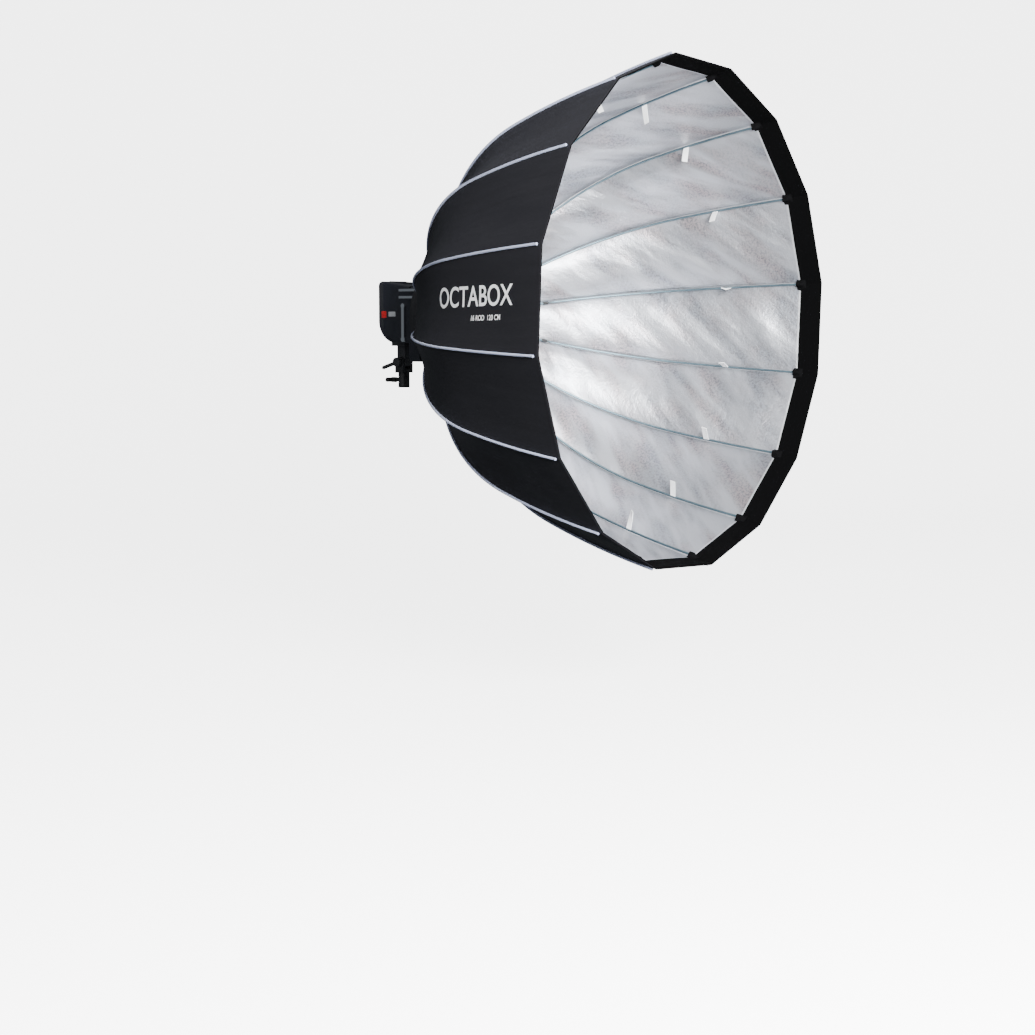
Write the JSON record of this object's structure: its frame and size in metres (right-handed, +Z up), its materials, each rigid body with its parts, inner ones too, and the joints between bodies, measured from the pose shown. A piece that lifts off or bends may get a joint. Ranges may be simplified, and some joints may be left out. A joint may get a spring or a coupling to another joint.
{
  "type": "octabox",
  "caption": "Deep sixteen-sided softbox, black outside and silver inside, on a turning ring at the front of a compact flash head with a tilting stand bracket.",
  "frame": {"origin": "centre of the stand socket mouth", "axes": "+Z up, out of the stand; the open front of the box faces -Y; X is across"},
  "size_m": [1.1956, 0.9585, 1.1956],
  "materials": {
    "cover_fabric": "matt black nylon",
    "liner_fabric": "silver textured",
    "lip_fabric": "matt black",
    "piping_cord": "pale blue-grey",
    "strap_webbing": "white webbing",
    "pocket_fabric": "black",
    "collar_fabric": "black elastic",
    "rod_steel": "dark teal-grey",
    "holder_nylon": "black",
    "ring_metal": "black satin",
    "pin_steel": "bright",
    "insert_metal": "satin",
    "head_casing": "dark blue-black",
    "head_panel": "black",
    "clear_glass": "clear",
    "tube_glass": "frosted",
    "lamp_ceramic": "cream ceramic",
    "bright_trim": "polished",
    "lever_metal": "satin",
    "bracket_metal": "black",
    "knob_rubber": "black",
    "button_plastic": "grey",
    "rocker_plastic": "black",
    "inlet_plastic": "black"
  },
  "bodies": {
    "bracket": {"stand_socket": "bracket_metal", "tilt_bolt": "pin_steel"},
    "clamp_knob_body": {"clamp_knob": "knob_rubber"},
    "tilt_lever_body": {"tilt_lever": "knob_rubber"},
    "head": {"front_housing": "head_casing", "head_shell": "head_casing", "rear_panel": "head_panel", "mount_insert": "insert_metal", "retainer_ring": "insert_metal", "glass_dome": "clear_glass", "flash_tube": "tube_glass", "modelling_lamp": "lamp_ceramic", "side_trims": "bright_trim", "mains_inlet": "inlet_plastic", "head_lug": "bracket_metal"},
    "bayonet_lever_body": {"bayonet_lever": "lever_metal"},
    "dial": {"control_dial": "knob_rubber"},
    "button": {"test_button": "button_plastic"},
    "rocker": {"power_rocker": "rocker_plastic"},
    "octabox": {"speedring": "ring_metal", "hinge_pins": "pin_steel", "rear_collar": "collar_fabric", "outer_cover": "cover_fabric", "inner_liner": "liner_fabric", "front_lip": "lip_fabric", "seam_piping": "piping_cord", "strap_set": "strap_webbing", "tip_pockets": "pocket_fabric"},
    "rod_01_arm": {"rod_01": "rod_steel", "rod_holder_01": "holder_nylon"},
    "rod_02_arm": {"rod_02": "rod_steel", "rod_holder_02": "holder_nylon"},
    "rod_03_arm": {"rod_03": "rod_steel", "rod_holder_03": "holder_nylon"},
    "rod_04_arm": {"rod_04": "rod_steel", "rod_holder_04": "holder_nylon"},
    "rod_05_arm": {"rod_05": "rod_steel", "rod_holder_05": "holder_nylon"},
    "rod_06_arm": {"rod_06": "rod_steel", "rod_holder_06": "holder_nylon"},
    "rod_07_arm": {"rod_07": "rod_steel", "rod_holder_07": "holder_nylon"},
    "rod_08_arm": {"rod_08": "rod_steel", "rod_holder_08": "holder_nylon"},
    "rod_09_arm": {"rod_09": "rod_steel", "rod_holder_09": "holder_nylon"},
    "rod_10_arm": {"rod_10": "rod_steel", "rod_holder_10": "holder_nylon"},
    "rod_11_arm": {"rod_11": "rod_steel", "rod_holder_11": "holder_nylon"},
    "rod_12_arm": {"rod_12": "rod_steel", "rod_holder_12": "holder_nylon"},
    "rod_13_arm": {"rod_13": "rod_steel", "rod_holder_13": "holder_nylon"},
    "rod_14_arm": {"rod_14": "rod_steel", "rod_holder_14": "holder_nylon"},
    "rod_15_arm": {"rod_15": "rod_steel", "rod_holder_15": "holder_nylon"},
    "rod_16_arm": {"rod_16": "rod_steel", "rod_holder_16": "holder_nylon"}
  },
  "joints": [
    {"name": "head_tilt", "type": "hinge", "parent": "bracket", "child": "head", "pos_m": [0, 0, 0.067], "axis": [1, 0, 0], "range_deg": [-90, 55]},
    {"name": "tilt_lever_turn", "type": "hinge", "parent": "bracket", "child": "tilt_lever_body", "pos_m": [0, 0, 0.067], "axis": [1, 0, 0], "range_deg": [-60, 45]},
    {"name": "stand_clamp_turn", "type": "hinge", "parent": "bracket", "child": "clamp_knob_body", "pos_m": [0, 0.03, 0.02], "axis": [0, 1, 0], "range_deg": [0, 1080]},
    {"name": "bayonet_lever_swing", "type": "hinge", "parent": "head", "child": "bayonet_lever_body", "pos_m": [-0.0655, -0.057, 0.127], "axis": [-1, 0, 0], "range_deg": [0, 35]},
    {"name": "power_dial_turn", "type": "hinge", "parent": "head", "child": "dial", "pos_m": [0, 0.035, 0.225], "axis": [0, 1, 0], "continuous": true},
    {"name": "test_button_press", "type": "slide", "parent": "head", "child": "button", "axis": [0, -1, 0], "range_m": [0, 0.002], "stiffness_N_per_m": 600},
    {"name": "power_rocker_tip", "type": "hinge", "parent": "head", "child": "rocker", "pos_m": [-0.034, 0.0318, 0.225], "axis": [1, 0, 0], "range_deg": [-8, 8]},
    {"name": "octabox_turn", "type": "hinge", "parent": "head", "child": "octabox", "pos_m": [0, -0.16, 0.185], "axis": [0, 1, 0], "continuous": true},
    {"name": "rod_01_fold", "type": "hinge", "parent": "octabox", "child": "rod_01_arm", "pos_m": [0.02609, -0.18164, 0.28774], "axis": [0.9692, 0, -0.2462], "range_deg": [0, 32], "deforming": ["outer_cover", "inner_liner", "front_lip", "seam_piping", "strap_set", "tip_pockets"]},
    {"name": "rod_02_fold", "type": "hinge", "parent": "octabox", "child": "rod_02_arm", "pos_m": [0.06342, -0.18164, 0.26993], "axis": [0.8013, 0, -0.5983], "range_deg": [0, 32]},
    {"name": "rod_03_fold", "type": "hinge", "parent": "octabox", "child": "rod_03_arm", "pos_m": [0.0911, -0.18164, 0.2392], "axis": [0.5113, 0, -0.8594], "range_deg": [0, 32]},
    {"name": "rod_04_fold", "type": "hinge", "parent": "octabox", "child": "rod_04_arm", "pos_m": [0.1049, -0.18164, 0.20021], "axis": [0.1435, 0, -0.9897], "range_deg": [0, 32]},
    {"name": "rod_05_fold", "type": "hinge", "parent": "octabox", "child": "rod_05_arm", "pos_m": [0.10274, -0.18164, 0.15891], "axis": [-0.2462, 0, -0.9692], "range_deg": [0, 32]},
    {"name": "rod_06_fold", "type": "hinge", "parent": "octabox", "child": "rod_06_arm", "pos_m": [0.08493, -0.18164, 0.12158], "axis": [-0.5983, 0, -0.8013], "range_deg": [0, 32]},
    {"name": "rod_07_fold", "type": "hinge", "parent": "octabox", "child": "rod_07_arm", "pos_m": [0.0542, -0.18164, 0.0939], "axis": [-0.8594, 0, -0.5113], "range_deg": [0, 32]},
    {"name": "rod_08_fold", "type": "hinge", "parent": "octabox", "child": "rod_08_arm", "pos_m": [0.01521, -0.18164, 0.0801], "axis": [-0.9897, 0, -0.1435], "range_deg": [0, 32]},
    {"name": "rod_09_fold", "type": "hinge", "parent": "octabox", "child": "rod_09_arm", "pos_m": [-0.02609, -0.18164, 0.08226], "axis": [-0.9692, 0, 0.2462], "range_deg": [0, 32]},
    {"name": "rod_10_fold", "type": "hinge", "parent": "octabox", "child": "rod_10_arm", "pos_m": [-0.06342, -0.18164, 0.10007], "axis": [-0.8013, 0, 0.5983], "range_deg": [0, 32]},
    {"name": "rod_11_fold", "type": "hinge", "parent": "octabox", "child": "rod_11_arm", "pos_m": [-0.0911, -0.18164, 0.1308], "axis": [-0.5113, 0, 0.8594], "range_deg": [0, 32]},
    {"name": "rod_12_fold", "type": "hinge", "parent": "octabox", "child": "rod_12_arm", "pos_m": [-0.1049, -0.18164, 0.16979], "axis": [-0.1435, 0, 0.9897], "range_deg": [0, 32]},
    {"name": "rod_13_fold", "type": "hinge", "parent": "octabox", "child": "rod_13_arm", "pos_m": [-0.10274, -0.18164, 0.21109], "axis": [0.2462, 0, 0.9692], "range_deg": [0, 32]},
    {"name": "rod_14_fold", "type": "hinge", "parent": "octabox", "child": "rod_14_arm", "pos_m": [-0.08493, -0.18164, 0.24842], "axis": [0.5983, 0, 0.8013], "range_deg": [0, 32]},
    {"name": "rod_15_fold", "type": "hinge", "parent": "octabox", "child": "rod_15_arm", "pos_m": [-0.0542, -0.18164, 0.2761], "axis": [0.8594, 0, 0.5113], "range_deg": [0, 32]},
    {"name": "rod_16_fold", "type": "hinge", "parent": "octabox", "child": "rod_16_arm", "pos_m": [-0.01521, -0.18164, 0.2899], "axis": [0.9897, 0, 0.1435], "range_deg": [0, 32]}
  ],
  "couplings": [
    {"joint": "rod_02_fold", "follows": "rod_01_fold", "ratio": 1},
    {"joint": "rod_03_fold", "follows": "rod_01_fold", "ratio": 1},
    {"joint": "rod_04_fold", "follows": "rod_01_fold", "ratio": 1},
    {"joint": "rod_05_fold", "follows": "rod_01_fold", "ratio": 1},
    {"joint": "rod_06_fold", "follows": "rod_01_fold", "ratio": 1},
    {"joint": "rod_07_fold", "follows": "rod_01_fold", "ratio": 1},
    {"joint": "rod_08_fold", "follows": "rod_01_fold", "ratio": 1},
    {"joint": "rod_09_fold", "follows": "rod_01_fold", "ratio": 1},
    {"joint": "rod_10_fold", "follows": "rod_01_fold", "ratio": 1},
    {"joint": "rod_11_fold", "follows": "rod_01_fold", "ratio": 1},
    {"joint": "rod_12_fold", "follows": "rod_01_fold", "ratio": 1},
    {"joint": "rod_13_fold", "follows": "rod_01_fold", "ratio": 1},
    {"joint": "rod_14_fold", "follows": "rod_01_fold", "ratio": 1},
    {"joint": "rod_15_fold", "follows": "rod_01_fold", "ratio": 1},
    {"joint": "rod_16_fold", "follows": "rod_01_fold", "ratio": 1}
  ]
}
